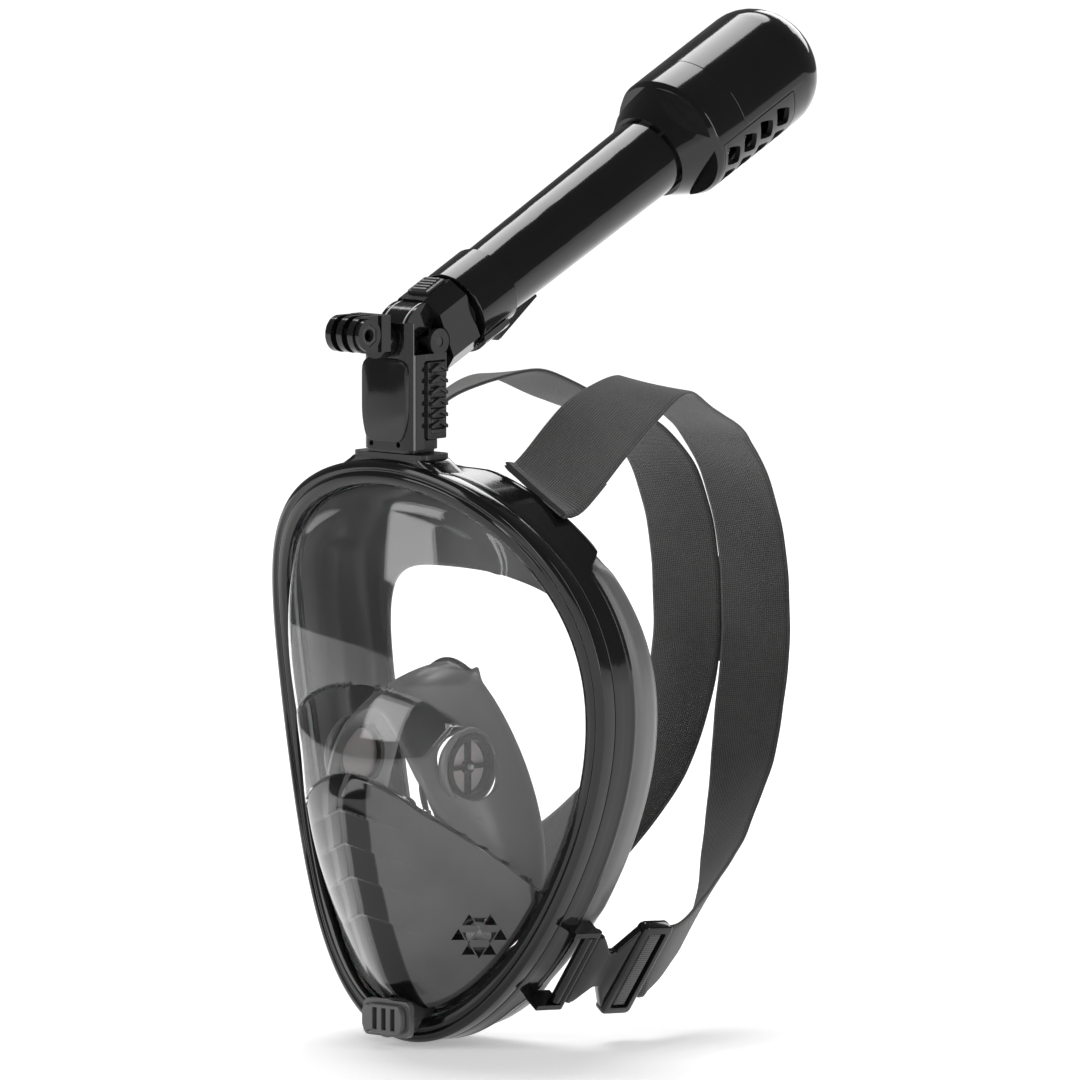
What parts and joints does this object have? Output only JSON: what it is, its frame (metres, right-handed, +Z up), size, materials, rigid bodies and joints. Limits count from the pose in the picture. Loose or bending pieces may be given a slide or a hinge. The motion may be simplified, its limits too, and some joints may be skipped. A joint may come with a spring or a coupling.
{
  "type": "full face snorkel mask",
  "caption": "Full face snorkel mask with clear lens, silicone skirt and nose cup, folding dry-top snorkel with camera mount, and elastic head harness with buckles.",
  "frame": {"origin": "middle of the face opening, in the plane of the skirt's rearmost edge", "axes": "+Z up the wearer's face, -Y the way the wearer looks, +X the wearer's left"},
  "size_m": [0.182, 0.2784, 0.4139],
  "materials": {
    "gloss_black": "high gloss moulded ABS",
    "grey_gloss": "dark grey gloss cover",
    "clear": "clear polycarbonate",
    "skirt_silicone": "satin liquid silicone",
    "cup_silicone": "satin liquid silicone",
    "valve_silicone": "soft translucent silicone",
    "satin_black": "satin moulded plastic",
    "elastic": "woven polyester elastic",
    "stainless": "bright stainless",
    "float_foam": "moulded foam"
  },
  "bodies": {
    "mask": {"bezel": "gloss_black", "lens": "clear", "lens_gasket": "skirt_silicone", "rear_frame": "gloss_black", "frame_screws": "stainless", "top_socket": "gloss_black", "face_skirt": "skirt_silicone", "nose_cup": "cup_silicone", "inhale_valve_seats": "clear", "lower_cover": "grey_gloss", "exhaust_valve_seats": "satin_black", "purge_housing": "gloss_black", "purge_cap": "gloss_black", "strap_left": "elastic", "strap_right": "elastic", "back_seam_tape": "elastic", "strap_end_tabs": "satin_black", "buckle_bars": "gloss_black"},
    "inhale_flap_left": {"inhale_flap_left": "valve_silicone"},
    "inhale_flap_right": {"inhale_flap_right": "valve_silicone"},
    "exhaust_flap_left": {"exhaust_flap_left": "valve_silicone"},
    "exhaust_flap_right": {"exhaust_flap_right": "valve_silicone"},
    "purge_flap": {"purge_flap": "valve_silicone"},
    "column": {"base_front_shell": "grey_gloss", "base_rear_shell": "gloss_black", "base_plug": "satin_black", "plug_seal": "valve_silicone", "base_screws": "stainless", "release_springs": "stainless", "camera_mount": "grey_gloss", "camera_nut": "stainless", "hinge_pin": "stainless"},
    "release_left": {"release_button_left": "satin_black"},
    "release_right": {"release_button_right": "satin_black"},
    "snorkel": {"tube_knuckle": "grey_gloss", "tube_cradle": "grey_gloss", "lock_spring": "stainless", "hinge_seals": "valve_silicone", "tube_sleeve": "satin_black", "tube": "gloss_black", "tube_divider": "satin_black", "dry_top_collar": "gloss_black", "dry_top_cap": "gloss_black", "dry_top_grille": "grey_gloss"},
    "lock": {"lock_button": "satin_black"},
    "float": {"float": "float_foam", "float_seal": "valve_silicone"},
    "buckle_left": {"buckle_left": "gloss_black"},
    "buckle_right": {"buckle_right": "gloss_black"}
  },
  "joints": [
    {"name": "snorkel_lift", "type": "slide", "parent": "mask", "child": "column", "axis": [0, 0, 1], "range_m": [0, 0.014]},
    {"name": "snorkel_fold", "type": "hinge", "parent": "column", "child": "snorkel", "pos_m": [0, -0.064, 0.1696], "axis": [1, 0, 0], "range_deg": [-25, 64]},
    {"name": "lock_press", "type": "slide", "parent": "snorkel", "child": "lock", "axis": [0, 0.4274, -0.9041], "range_m": [0, 0.0012], "stiffness_N_per_m": 900},
    {"name": "release_left_press", "type": "slide", "parent": "column", "child": "release_left", "axis": [-1, 0, 0], "range_m": [0, 0.0016], "stiffness_N_per_m": 900},
    {"name": "release_right_press", "type": "slide", "parent": "column", "child": "release_right", "axis": [1, 0, 0], "range_m": [0, 0.0016], "stiffness_N_per_m": 900},
    {"name": "float_rise", "type": "slide", "parent": "snorkel", "child": "float", "axis": [0, 0.9041, 0.4274], "range_m": [0, 0.018]},
    {"name": "inhale_open_left", "type": "slide", "parent": "mask", "child": "inhale_flap_left", "axis": [-1, 0, 0], "range_m": [0, 0.0015], "stiffness_N_per_m": 60},
    {"name": "inhale_open_right", "type": "slide", "parent": "mask", "child": "inhale_flap_right", "axis": [1, 0, 0], "range_m": [0, 0.0015], "stiffness_N_per_m": 60},
    {"name": "exhaust_open_left", "type": "slide", "parent": "mask", "child": "exhaust_flap_left", "axis": [0.7193, -0.6947, 0], "range_m": [0, 0.0009], "stiffness_N_per_m": 60},
    {"name": "exhaust_open_right", "type": "slide", "parent": "mask", "child": "exhaust_flap_right", "axis": [-0.7193, -0.6947, 0], "range_m": [0, 0.0009], "stiffness_N_per_m": 60},
    {"name": "purge_open", "type": "slide", "parent": "mask", "child": "purge_flap", "axis": [0, -1, 0], "range_m": [0, 0.0015], "stiffness_N_per_m": 60},
    {"name": "buckle_swing_left", "type": "hinge", "parent": "mask", "child": "buckle_left", "pos_m": [0.0585, -0.0296, -0.0875], "axis": [0.5592, 0, 0.829], "range_deg": [-6, 6]},
    {"name": "buckle_swing_right", "type": "hinge", "parent": "mask", "child": "buckle_right", "pos_m": [-0.0585, -0.0296, -0.0875], "axis": [0.5592, 0, -0.829], "range_deg": [-6, 6]}
  ]
}
